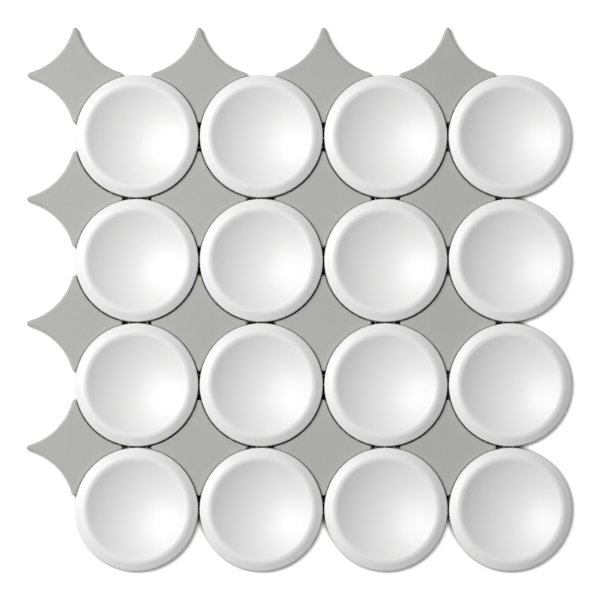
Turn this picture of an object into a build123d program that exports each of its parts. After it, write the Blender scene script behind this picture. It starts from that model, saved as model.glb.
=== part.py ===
from build123d import *
import math
import os

# Ceramic mosaic sheet: round dished tiles on a square grid, star tiles in the gaps
# between them, all bonded face up on a laid glass-fibre net.
# Millimetres. The sheet lies on its net, +Z out of the glazed face. +Y is the edge along
# which the star tiles stand out, and -X is the other such edge. The origin is at the
# middle of the sheet's box, on the plane that the net lies on.

# Layout of the sheet
rows = 4
columns = 4
pitch = 68.0                # centre to centre of neighbouring round tiles
joint = 0.9                 # open joint between neighbouring round tiles, where they are closest

# Round tile
round_wall_height = 8.0     # upright outer wall, from the back to where the edge turns in
round_edge_radius = 0.8     # rounding from the wall into the rim's slope
rim_slope = 24.0            # degrees, outer slope of the rim
rim_width = 2.75            # straight part of that slope, seen from above
crest_radius = 5.0          # rounding over the top of the rim, from slope into dish
dish_thickness = 3.8        # ceramic left under the middle of the dish

# Star tile
star_thickness = 6.5
star_clearance = 0.4        # mean open joint along the star's hollow sides
star_drop = 0.28            # how far the stars lie below the middles of their gaps, towards -Y
star_tip_radius = 1.25      # rounding of each point, seen from above
star_edge_radius = 0.9      # rounding of the glazed face's edge
least_point = 0.1           # least radius that this rounding leaves at a point

# Backs of both kinds of tile
back_chamfer = 0.5

# Net
strand_width = 0.8
strand_thickness = 0.25
strand_spacing = 5.0
net_overlap = 3.0           # how far the net reaches past the middles of the edge tiles

# Derived sizes
half_pitch = pitch / 2
round_radius = (pitch - joint) / 2
star_arc_radius = round_radius + star_clearance
star_tip_centre = half_pitch - math.sqrt((star_arc_radius + star_tip_radius) ** 2 - half_pitch ** 2)
star_reach = star_tip_centre + star_tip_radius
back_height = 2 * strand_thickness
grid_width = columns * pitch - half_pitch       # first gap's middle to last round tile's centre
grid_depth = rows * pitch - half_pitch
first_x = (star_reach - grid_width - round_radius) / 2
first_y = (grid_depth + round_radius + star_drop - star_reach) / 2


def gap_place(row, column):
    return Pos(first_x + column * pitch, first_y - row * pitch, back_height)


def star_place(row, column):
    return gap_place(row, column) * Pos(0, -star_drop, 0)


def round_place(row, column):
    return gap_place(row, column) * Pos(half_pitch, -half_pitch, 0)


def polar(centre, radius, degrees):
    turn = math.radians(degrees)
    return (centre[0] + radius * math.cos(turn), centre[1] + radius * math.sin(turn))


def round_tile():
    """Turned from half its section: wall, rounded edge, sloping rim, crest and dish."""
    slope_normal = 90 - rim_slope
    edge_centre = (round_radius - round_edge_radius, round_wall_height)
    slope_foot = polar(edge_centre, round_edge_radius, slope_normal)
    rim_rise = rim_width * math.tan(math.radians(rim_slope))
    slope_top = (slope_foot[0] - rim_width, slope_foot[1] + rim_rise)
    crest_centre = polar(slope_top, crest_radius, slope_normal + 180)

    # The dish is the arc about the axis that meets the crest's arc without a corner.
    across, up = crest_centre
    floor_rise = dish_thickness - up
    dish_radius = (across ** 2 + floor_rise ** 2 - crest_radius ** 2) / (2 * (crest_radius - floor_rise))
    dish_centre = (0, dish_thickness + dish_radius)
    lip_angle = math.degrees(math.atan2(up - dish_centre[1], across))
    crest_end_angle = lip_angle + 180
    lip = polar(dish_centre, dish_radius, lip_angle)

    outline = [
        Line((0, 0), (round_radius - back_chamfer, 0)),
        Line((round_radius - back_chamfer, 0), (round_radius, back_chamfer)),
        Line((round_radius, back_chamfer), (round_radius, round_wall_height)),
        CenterArc(edge_centre, round_edge_radius, 0, slope_normal),
        Line(slope_foot, slope_top),
        CenterArc(crest_centre, crest_radius, slope_normal, crest_end_angle - slope_normal),
        ThreePointArc(lip, polar(dish_centre, dish_radius, (lip_angle - 90) / 2), (0, dish_thickness)),
        Line((0, dish_thickness), (0, 0)),
    ]
    section = Plane.XZ * make_face(outline)
    return revolve(section, Axis.Z)


def star_outline():
    """Four hollow sides that follow the round tiles, joined by rounded points."""
    flank_angle = math.degrees(math.atan2(half_pitch, half_pitch - star_tip_centre))
    flank = polar((star_tip_centre, 0), star_tip_radius, flank_angle)
    hollow = half_pitch - star_arc_radius / math.sqrt(2)
    edges = []
    for quarter in range(4):
        turn = Rot(0, 0, 90 * quarter)
        edges.append(turn * ThreePointArc((flank[0], -flank[1]), (star_reach, 0), flank))
        edges.append(turn * ThreePointArc(flank, (hollow, hollow), (flank[1], flank[0])))
    return make_face(edges)


def star_tile():
    body = extrude(star_outline(), star_thickness)
    face_edges = body.faces().sort_by(Axis.Z)[-1].edges()
    body = fillet(face_edges, min(star_edge_radius, star_tip_radius - least_point))
    back_edges = body.faces().sort_by(Axis.Z)[0].edges()
    return chamfer(back_edges, back_chamfer)


def strand_offsets(span):
    """Places of evenly spaced strands across a span, centred on it."""
    count = int((span - strand_width) / strand_spacing) + 1
    return [strand_spacing * (i - (count - 1) / 2) for i in range(count)]


def net_layers():
    """Cross strands lie underneath, and long strands on them, against the tiles' backs."""
    middle = Pos(first_x + net_overlap + grid_width / 2, first_y - net_overlap - grid_depth / 2, 0)
    flat = (Align.CENTER, Align.CENTER, Align.MIN)
    cross_strand = Box(grid_width, strand_width, strand_thickness, align=flat)
    long_strand = Box(strand_width, grid_depth, strand_thickness, align=flat)
    cross_strands = [middle * Pos(0, y, 0) * cross_strand for y in strand_offsets(grid_depth)]
    long_strands = [middle * Pos(x, 0, strand_thickness) * long_strand for x in strand_offsets(grid_width)]
    return Compound(cross_strands), Compound(long_strands)


def main():
    os.makedirs("parts", exist_ok=True)
    round_shape = round_tile()
    star_shape = star_tile()
    for row in range(rows):
        for column in range(columns):
            tag = f"r{row + 1}c{column + 1}"
            export_step(round_place(row, column) * round_shape, f"parts/round_tile_{tag}.step")
            export_step(star_place(row, column) * star_shape, f"parts/star_tile_{tag}.step")
    cross_strands, long_strands = net_layers()
    export_step(cross_strands, "parts/net_cross_strands.step")
    export_step(long_strands, "parts/net_long_strands.step")


main()
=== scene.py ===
import bmesh
import bpy
import math
from mathutils import Matrix, Vector


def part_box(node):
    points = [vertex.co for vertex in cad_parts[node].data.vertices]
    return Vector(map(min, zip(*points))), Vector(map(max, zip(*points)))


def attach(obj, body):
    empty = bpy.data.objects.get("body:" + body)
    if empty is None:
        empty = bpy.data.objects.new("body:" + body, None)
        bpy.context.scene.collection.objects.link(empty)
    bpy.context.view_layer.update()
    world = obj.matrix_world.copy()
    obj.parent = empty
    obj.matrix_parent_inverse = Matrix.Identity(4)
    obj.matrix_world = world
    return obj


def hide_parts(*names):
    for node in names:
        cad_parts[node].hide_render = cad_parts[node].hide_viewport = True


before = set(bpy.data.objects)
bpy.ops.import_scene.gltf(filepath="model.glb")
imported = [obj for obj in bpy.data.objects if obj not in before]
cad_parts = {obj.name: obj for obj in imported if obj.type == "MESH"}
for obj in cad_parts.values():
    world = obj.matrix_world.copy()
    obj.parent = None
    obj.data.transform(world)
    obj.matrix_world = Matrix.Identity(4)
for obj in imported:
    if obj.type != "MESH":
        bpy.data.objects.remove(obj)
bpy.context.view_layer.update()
print("frame loaded,", len(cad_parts), "nodes")

mm = 0.001
weld = 0.001 * mm        # vertices closer than this are one
rowCount = 4
columnCount = 4
tags = [f"r{row + 1}c{column + 1}" for row in range(rowCount) for column in range(columnCount)]


def middleOf(node):
    low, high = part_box(node)
    return (low + high) / 2


def spanOf(node):
    low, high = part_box(node)
    return high - low


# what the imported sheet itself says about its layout
sheet = {
    "pitch": middleOf("round_tile_r1c2").x - middleOf("round_tile_r1c1").x,
    "back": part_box("round_tile_r1c1")[0].z,
    "roundRadius": spanOf("round_tile_r1c1").x / 2,
    "starReach": spanOf("star_tile_r1c1").x / 2,
    "starThickness": spanOf("star_tile_r1c1").z,
}


# node helpers for the materials

def newMaterial(name):
    material = bpy.data.materials.new(name)
    material.use_nodes = True
    nodes = material.node_tree.nodes
    return material, nodes, material.node_tree.links, nodes["Principled BSDF"]


def addNode(nodes, kind, **settings):
    # each setting goes to the socket of that name, or else to the node itself
    node = nodes.new(kind)
    for key, value in settings.items():
        if key in node.inputs:
            node.inputs[key].default_value = value
        else:
            setattr(node, key, value)
    return node


def noiseOn(nodes, links, place, scale, detail=2.0, roughness=0.5):
    noise = addNode(nodes, "ShaderNodeTexNoise", Scale=scale, Detail=detail, Roughness=roughness)
    links.new(place, noise.inputs["Vector"])
    return noise.outputs["Fac"]


def mathOn(nodes, links, operation, first, second):
    node = nodes.new("ShaderNodeMath")
    node.operation = operation
    for socket, value in zip(node.inputs, (first, second)):
        if isinstance(value, (int, float)):
            socket.default_value = value
        else:
            links.new(value, socket)
    return node.outputs[0]


def rangeOn(nodes, links, value, fromLow, fromHigh, toLow, toHigh, smooth=False):
    node = nodes.new("ShaderNodeMapRange")
    node.interpolation_type = "SMOOTHSTEP" if smooth else "LINEAR"
    for socket, number in zip(node.inputs[1:5], (fromLow, fromHigh, toLow, toHigh)):
        socket.default_value = number
    links.new(value, node.inputs[0])
    return node.outputs[0]


def mixColours(nodes, links, share, first, second):
    node = nodes.new("ShaderNodeMix")
    node.data_type = "RGBA"
    links.new(share, node.inputs[0])
    for socket, value in zip((node.inputs[6], node.inputs[7]), (first, second)):    # colours A and B
        if isinstance(value, tuple):
            socket.default_value = (*value, 1)
        else:
            links.new(value, socket)
    return node.outputs[2]


def bumpOn(nodes, links, shader, height, strength, distance):
    bump = addNode(nodes, "ShaderNodeBump", Strength=strength, Distance=distance)
    links.new(height, bump.inputs["Height"])
    links.new(bump.outputs[0], shader.inputs["Normal"])


def seenRays(nodes, links):
    # 1 for rays that show the backdrop: straight from the camera, or by reflection or through glass
    rays = nodes.new("ShaderNodeLightPath")
    seen = mathOn(nodes, links, "MAXIMUM", rays.outputs["Is Camera Ray"], rays.outputs["Is Glossy Ray"])
    return mathOn(nodes, links, "MAXIMUM", seen, rays.outputs["Is Transmission Ray"])


# glaze over a fired body: the glaze stops at a wavering line on the tile's wall

glazes = {
    "white": {
        "colour": (0.85, 0.85, 0.848),
        "pale": (0.87, 0.87, 0.868),
        "rough": (0.38, 0.44),
        "line": 7.6 * mm,
        "speckle": 0.0,
        "grain": 0.0,
        "ripple": 0.6,
    },
    "grey": {
        "colour": (0.42, 0.422, 0.405),
        "pale": (0.445, 0.447, 0.43),
        "rough": (0.34, 0.42),
        "line": 6.4 * mm,
        "speckle": 0.06,
        "grain": 0.25,
        "ripple": 0.3,
    },
}
body = {"colour": (0.68, 0.65, 0.59), "dark": (0.58, 0.55, 0.49), "rough": 0.85}

# how fine each pattern of the firing is, as noise scale on metres, and how far it goes
firing = {
    "drift": 14,
    "gloss": 70,
    "ripple": 130,
    "waver": 160,
    "pores": 900,
    "grain": 2600,
    "waverHeight": 2.4 * mm,
    "lineFade": 0.5 * mm,
    "upright": (0.15, 0.45),    # upward part of the normal, from wall to face
    "relief": 0.03 * mm,
}


def glazedBody(name, glaze):
    material, nodes, links, shader = newMaterial(name)
    coordinates = nodes.new("ShaderNodeTexCoord")
    place = coordinates.outputs["Object"]
    height, facing = nodes.new("ShaderNodeSeparateXYZ"), nodes.new("ShaderNodeSeparateXYZ")
    links.new(place, height.inputs[0])
    links.new(coordinates.outputs["Normal"], facing.inputs[0])

    # the firing leaves a slow drift of tone across the sheet, and fine flecks in the matt glaze
    drift = rangeOn(nodes, links, noiseOn(nodes, links, place, firing["drift"]), 0.3, 0.7, 0, 1)
    glazeColour = mixColours(nodes, links, drift, glaze["colour"], glaze["pale"])
    grain = noiseOn(nodes, links, place, firing["grain"], 3)
    if glaze["speckle"]:
        fleck = rangeOn(nodes, links, grain, 0.35, 0.65, 1 - glaze["speckle"], 1 + glaze["speckle"])
        scaled = nodes.new("ShaderNodeVectorMath")
        scaled.operation = "SCALE"
        links.new(glazeColour, scaled.inputs[0])
        links.new(fleck, scaled.inputs["Scale"])
        glazeColour = scaled.outputs[0]

    pores = rangeOn(nodes, links, noiseOn(nodes, links, place, firing["pores"], 4, 0.6), 0.35, 0.6, 0, 1)
    bodyColour = mixColours(nodes, links, pores, body["dark"], body["colour"])

    # glazed share: 1 all over the face, and on the wall 1 above a wavering line and 0 below it
    unevenness = noiseOn(nodes, links, place, firing["waver"], 3)
    waver = mathOn(nodes, links, "MULTIPLY", unevenness, firing["waverHeight"])
    level = mathOn(nodes, links, "ADD", height.outputs["Z"], waver)
    lineTop = glaze["line"] + firing["lineFade"]
    above = rangeOn(nodes, links, level, glaze["line"], lineTop, 0, 1, smooth=True)
    face = rangeOn(nodes, links, facing.outputs["Z"], *firing["upright"], 0, 1)
    glazed = mathOn(nodes, links, "MAXIMUM", above, face)
    links.new(mixColours(nodes, links, glazed, bodyColour, glazeColour), shader.inputs["Base Color"])

    gloss = rangeOn(nodes, links, noiseOn(nodes, links, place, firing["gloss"], 3), 0.3, 0.7, *glaze["rough"])
    roughness = nodes.new("ShaderNodeMix")
    links.new(glazed, roughness.inputs[0])
    roughness.inputs[2].default_value = body["rough"]
    links.new(gloss, roughness.inputs[3])
    links.new(roughness.outputs[0], shader.inputs["Roughness"])

    # fired grain as bump, much softer under the glaze, and the glaze's own slow ripple
    grit = mathOn(nodes, links, "MULTIPLY", grain, rangeOn(nodes, links, glazed, 0, 1, 1, glaze["grain"]))
    swell = noiseOn(nodes, links, place, firing["ripple"], 1)
    ripple = mathOn(nodes, links, "MULTIPLY", swell, glaze["ripple"])
    bumpOn(nodes, links, shader, mathOn(nodes, links, "ADD", grit, ripple), 1.0, firing["relief"])
    return material


whiteGlaze = glazedBody("whiteGlaze", glazes["white"])
greyMattGlaze = glazedBody("greyMattGlaze", glazes["grey"])
print("glazes mixed")


# meshes

sharpAngle = 40.0        # degrees, edges that turn more than this shade as corners


def finishPiece(bm, name, material, node):
    bmesh.ops.remove_doubles(bm, verts=bm.verts[:], dist=weld)
    bmesh.ops.recalc_face_normals(bm, faces=bm.faces[:])
    mesh = bpy.data.meshes.new(name)
    bm.to_mesh(mesh)
    bm.free()
    mesh.shade_smooth()
    mesh.set_sharp_from_angle(angle=math.radians(sharpAngle))
    mesh.materials.append(material)
    piece = bpy.data.objects.new(name, mesh)
    bpy.context.scene.collection.objects.link(piece)
    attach(piece, "root")
    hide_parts(node)


def layTile(bm, name, material, node):
    middle = middleOf(node)
    bmesh.ops.translate(bm, verts=bm.verts[:], vec=(middle.x, middle.y, sheet["back"]))
    finishPiece(bm, name, material, node)


def vertsIn(geometry):
    return [part for part in geometry if isinstance(part, bmesh.types.BMVert)]


def drawTo(bm, last, x, z, steps=1):
    # straight run of the section from the last vertex
    start = last.co.copy()
    for step in range(1, steps + 1):
        new = bm.verts.new(start.lerp(Vector((x, 0, z)), step / steps))
        bm.edges.new((last, new))
        last = new
    return last


def swing(bm, last, centre, axis, degrees, steps):
    # round run from the last vertex, about a centre
    made = bmesh.ops.spin(bm, geom=[last], cent=centre, axis=axis, angle=math.radians(degrees), steps=steps)
    return vertsIn(made["geom_last"])[0]


# round tile: half its section, turned about its axis

roundTile = {
    "wallHeight": 8.0 * mm,
    "edgeRadius": 0.8 * mm,
    "rimSlope": 24.0,
    "rimWidth": 2.75 * mm,
    "crestRadius": 5.0 * mm,
    "dishThickness": 3.8 * mm,
    "backChamfer": 0.5 * mm,
    "turns": 144,
    "backSteps": 4,
    "wallSteps": 6,
    "edgeSteps": 8,
    "rimSteps": 3,
    "crestSteps": 16,
    "dishSteps": 18,
}


def roundTileMesh():
    size = roundTile
    radius = sheet["roundRadius"]
    slope = math.radians(size["rimSlope"])
    crestAcross = radius - size["edgeRadius"] * (1 - math.sin(slope)) - size["rimWidth"]
    crestAcross -= size["crestRadius"] * math.sin(slope)
    slopeTop = size["wallHeight"] + size["edgeRadius"] * math.cos(slope) + size["rimWidth"] * math.tan(slope)
    crestUp = slopeTop - size["crestRadius"] * math.cos(slope)
    rise = size["dishThickness"] - crestUp
    dishRadius = (crestAcross ** 2 + rise ** 2 - size["crestRadius"] ** 2) / 2 / (size["crestRadius"] - rise)
    dishUp = size["dishThickness"] + dishRadius
    lip = math.degrees(math.atan2(crestAcross, dishUp - crestUp))    # tilt of the dish at its lip
    edgeAcross = radius - size["edgeRadius"]
    inwards = (0, -1, 0)    # turns the section from its wall over to its axis

    bm = bmesh.new()
    last = bm.verts.new((0, 0, 0))
    last = drawTo(bm, last, radius - size["backChamfer"], 0, size["backSteps"])
    last = drawTo(bm, last, radius, size["backChamfer"])
    last = drawTo(bm, last, radius, size["wallHeight"], size["wallSteps"])
    edgeCentre = (edgeAcross, 0, size["wallHeight"])
    last = swing(bm, last, edgeCentre, inwards, 90 - size["rimSlope"], size["edgeSteps"])
    last = drawTo(bm, last, last.co.x - size["rimWidth"], slopeTop, size["rimSteps"])
    crestCentre = (crestAcross, 0, crestUp)
    last = swing(bm, last, crestCentre, inwards, size["rimSlope"] + lip, size["crestSteps"])
    last = swing(bm, last, (0, 0, dishUp), inwards, -lip, size["dishSteps"])
    last.co.x = 0
    bmesh.ops.spin(bm, geom=bm.verts[:] + bm.edges[:], cent=(0, 0, 0), axis=(0, 0, 1),
                   angle=math.tau, steps=size["turns"], use_merge=True)
    return bm


for tag in tags:
    layTile(roundTileMesh(), f"roundTile.{tag}", whiteGlaze, f"round_tile_{tag}")
print("round tiles turned")


# star tile: a face drawn round its four points, raised and eased along its upper edge

starTile = {
    "tipRadius": 1.25 * mm,
    "edgeRadius": 0.9 * mm,
    "edgeSegments": 6,
    "backChamfer": 0.5 * mm,
    "flatMargin": 0.15 * mm,
    "hollowSteps": 40,
    "tipSteps": 10,
}


def starTileMesh():
    size = starTile
    half = sheet["pitch"] / 2
    tipCentre = sheet["starReach"] - size["tipRadius"]
    flank = math.degrees(math.atan2(half, half - tipCentre))
    up = (0, 0, 1)
    bm = bmesh.new()
    last = bm.verts.new((sheet["starReach"], 0, 0))
    for quarter in range(4):
        turn = Matrix.Rotation(quarter * math.pi / 2, 3, "Z")
        last = swing(bm, last, turn @ Vector((tipCentre, 0, 0)), up, flank, size["tipSteps"])
        last = swing(bm, last, turn @ Vector((half, half, 0)), up, 90 - 2 * flank, size["hollowSteps"])
        last = swing(bm, last, turn @ Vector((0, tipCentre, 0)), up, flank, size["tipSteps"])
    bmesh.ops.remove_doubles(bm, verts=bm.verts[:], dist=weld)
    face = bmesh.ops.contextual_create(bm, geom=bm.edges[:])["faces"][0]
    raised = bmesh.ops.extrude_face_region(bm, geom=[face])["geom"]
    bmesh.ops.translate(bm, verts=vertsIn(raised), vec=(0, 0, sheet["starThickness"]))

    # rounded round the face, chamfered round the back
    halfway = sheet["starThickness"] / 2
    edgings = ((True, size["edgeRadius"], size["edgeSegments"]), (False, size["backChamfer"], 1))
    for top, width, segments in edgings:
        rim = [edge for edge in bm.edges if all((v.co.z > halfway) == top for v in edge.verts)]
        bmesh.ops.bevel(bm, geom=rim, offset=width, offset_type="OFFSET", affect="EDGES",
                        segments=segments, profile=0.5, material=-1)

    # a narrow margin keeps the shading of both flats even
    flats = [face for face in bm.faces if abs(face.normal.z) > 0.999 and len(face.verts) > 8]
    bmesh.ops.inset_region(bm, faces=flats, thickness=size["flatMargin"])
    return bm


for tag in tags:
    layTile(starTileMesh(), f"starTile.{tag}", greyMattGlaze, f"star_tile_{tag}")
print("star tiles raised")


# glass-fibre net: two layers of flat strands, each a little narrower between its crossings

net = {
    "width": 0.8 * mm,
    "spacing": 5.0 * mm,
    "waist": 0.84,
    "sides": 8,
    "stepsPerSpacing": 4,
    "colour": (0.82, 0.82, 0.78),
    "dark": (0.66, 0.66, 0.61),
    "rough": (0.45, 0.7),
    "alongGrain": 150,
    "acrossGrain": 7000,
    "relief": 0.05 * mm,
    "reliefShare": 0.8,
}


def glassFibre(name, alongX):
    # filaments run along the strand, so the noise is drawn out that way
    material, nodes, links, shader = newMaterial(name)
    along, across = net["alongGrain"], net["acrossGrain"]
    scales = (along, across, across) if alongX else (across, along, across)
    stretch = addNode(nodes, "ShaderNodeMapping", Scale=scales)
    links.new(nodes.new("ShaderNodeTexCoord").outputs["Object"], stretch.inputs["Vector"])
    filaments = noiseOn(nodes, links, stretch.outputs[0], 1, 3)
    share = rangeOn(nodes, links, filaments, 0.35, 0.65, 0, 1)
    links.new(mixColours(nodes, links, share, net["dark"], net["colour"]), shader.inputs["Base Color"])
    links.new(rangeOn(nodes, links, filaments, 0.3, 0.7, *net["rough"]), shader.inputs["Roughness"])
    bumpOn(nodes, links, shader, filaments, net["reliefShare"], net["relief"])
    return material


def netLayerMesh(node, alongX):
    low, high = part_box(node)
    span = high - low
    length, across = (span.x, span.y) if alongX else (span.y, span.x)
    steps = round(length / net["spacing"] * net["stepsPerSpacing"])
    crossings = round((length - net["width"]) / net["spacing"] - 0.5) * net["spacing"] / 2

    # an oval swept from end to end
    bm = bmesh.new()
    bmesh.ops.create_circle(bm, cap_ends=True, segments=net["sides"], radius=0.5)
    upright = Matrix(((0, 0, 1, 0), (net["width"], 0, 0, 0), (0, span.z, 0, 0), (0, 0, 0, 1)))
    bmesh.ops.transform(bm, matrix=upright, verts=bm.verts[:])
    bmesh.ops.translate(bm, verts=bm.verts[:], vec=(-length / 2, 0, 0))
    bmesh.ops.spin(bm, geom=bm.verts[:] + bm.edges[:] + bm.faces[:], cent=(0, 0, 0), axis=(1, 0, 0),
                   dvec=(length / steps, 0, 0), angle=0, steps=steps)
    for vert in bm.verts:
        phase = math.cos(math.tau * (vert.co.x + crossings) / net["spacing"])
        vert.co.y *= net["waist"] + (1 - net["waist"]) * (1 + phase) / 2

    # its copies, side by side
    first = bm.verts[:] + bm.edges[:] + bm.faces[:]
    count = round((across - net["width"]) / net["spacing"]) + 1
    for index in range(1, count):
        copied = bmesh.ops.duplicate(bm, geom=first)["geom"]
        bmesh.ops.translate(bm, verts=vertsIn(copied), vec=(0, index * net["spacing"], 0))
    bmesh.ops.translate(bm, verts=bm.verts[:], vec=(0, -(count - 1) * net["spacing"] / 2, 0))
    if not alongX:
        bmesh.ops.rotate(bm, verts=bm.verts[:], cent=(0, 0, 0), matrix=Matrix.Rotation(math.pi / 2, 3, "Z"))
    bmesh.ops.translate(bm, verts=bm.verts[:], vec=(low + high) / 2)
    return bm


for way, alongX in (("cross", True), ("long", False)):
    node, name = f"net_{way}_strands", f"{way}Strands"
    finishPiece(netLayerMesh(node, alongX), name, glassFibre(f"{name}Fibre", alongX), node)
print("net laid")


# stage, light and camera

stage = {
    "size": 6.0,
    "colour": (0.9, 0.9, 0.9),
    # painted shade: the floor's colour deep in the joints, where shadow falls
    "paintedJointShade": (0.03, 0.03, 0.03),
    "lift": 0.95,
    "jointDepth": 15 * mm,
    "jointSky": (0.08, 0.26),
    # reach of the painted contact shadow round the tiles' feet, and how steeply it fades
    "contact": 2.5 * mm,
    "falloff": 2.6,
    "samples": 32,
    "drop": 0.05 * mm,
}


def whiteFloor():
    # painted shade on the stage floor: its colour goes dark deep in the joints and close round the tiles'
    # feet, and its glow for the camera fades round the feet as a painted contact shadow; elsewhere it is lit
    # up evenly for the camera
    material, nodes, links, shader = newMaterial("whiteFloor")
    shader.inputs["Roughness"].default_value = 1.0
    shader.inputs["Specular IOR Level"].default_value = 0.0
    shader.inputs["Emission Color"].default_value = (1, 1, 1, 1)
    occlusion = "ShaderNodeAmbientOcclusion"
    deep = addNode(nodes, occlusion, Distance=stage["jointDepth"], samples=stage["samples"])
    near = addNode(nodes, occlusion, Distance=stage["contact"], samples=stage["samples"])
    # painted shade mask: 0 deep in the joints and close round the feet, 1 on the open floor
    skyward = rangeOn(nodes, links, deep.outputs["AO"], *stage["jointSky"], 0, 1, smooth=True)
    clear = mathOn(nodes, links, "MULTIPLY", skyward, near.outputs["AO"])
    colour = mixColours(nodes, links, clear, stage["paintedJointShade"], stage["colour"])
    links.new(colour, shader.inputs["Base Color"])
    shown = mathOn(nodes, links, "MULTIPLY", seenRays(nodes, links), stage["lift"])
    glow = mathOn(nodes, links, "MULTIPLY", shown, mathOn(nodes, links, "POWER", clear, stage["falloff"]))
    links.new(glow, shader.inputs["Emission Strength"])
    return material


bm = bmesh.new()
bmesh.ops.create_grid(bm, x_segments=1, y_segments=1, size=stage["size"] / 2)
bmesh.ops.translate(bm, verts=bm.verts[:], vec=(0, 0, -stage["drop"]))
floorMesh = bpy.data.meshes.new("floor")
bm.to_mesh(floorMesh)
bm.free()
floorMesh.materials.append(whiteFloor())
floor = bpy.data.objects.new("floor", floorMesh)
bpy.context.scene.collection.objects.link(floor)

light = {"azimuth": 157.0, "elevation": 57.0, "distance": 2.4, "size": 1.6, "power": 60.5, "sky": 0.05}

# white for the camera, and a faint even light for the tiles
world = bpy.data.worlds.new("studio")
bpy.context.scene.world = world
world.use_nodes = True
worldNodes, worldLinks = world.node_tree.nodes, world.node_tree.links
backdrop = worldNodes["Background"]
backdrop.inputs["Color"].default_value = (1, 1, 1, 1)
skyLevel = rangeOn(worldNodes, worldLinks, seenRays(worldNodes, worldLinks), 0, 1, light["sky"], 1)
worldLinks.new(skyLevel, backdrop.inputs["Strength"])

# one soft lamp, high on the left
softbox = bpy.data.lights.new("softbox", "AREA")
softbox.shape = "SQUARE"
softbox.size = light["size"]
softbox.energy = light["power"]
softboxObject = bpy.data.objects.new("softbox", softbox)
around, up = math.radians(light["azimuth"]), math.radians(light["elevation"])
away = Vector((math.cos(up) * math.cos(around), math.cos(up) * math.sin(around), math.sin(up)))
softboxObject.location = away * light["distance"]
softboxObject.rotation_euler = away.to_track_quat("Z", "Y").to_euler()
bpy.context.scene.collection.objects.link(softboxObject)

# from far above, leaning a little to the near edge, so that the lower side of each joint shows
camera = {
    "lens": 400.0,
    "sensor": 36.0,
    "frameWidth": 327.6 * mm,
    "lean": 3.0,
    "target": (0.43 * mm, -0.84 * mm, 8 * mm),
    "clipEnd": 20,
}

cameraData = bpy.data.cameras.new("camera")
cameraData.lens = camera["lens"]
cameraData.sensor_width = camera["sensor"]
cameraData.clip_end = camera["clipEnd"]
cameraObject = bpy.data.objects.new("camera", cameraData)
lean = math.radians(camera["lean"])
reach = camera["frameWidth"] * camera["lens"] / camera["sensor"]
cameraObject.location = Vector(camera["target"]) + Vector((0, -math.sin(lean), math.cos(lean))) * reach
cameraObject.rotation_euler = (lean, 0, 0)
bpy.context.scene.collection.objects.link(cameraObject)
bpy.context.scene.camera = cameraObject
bpy.context.scene.view_settings.view_transform = "Standard"
print("stage set")
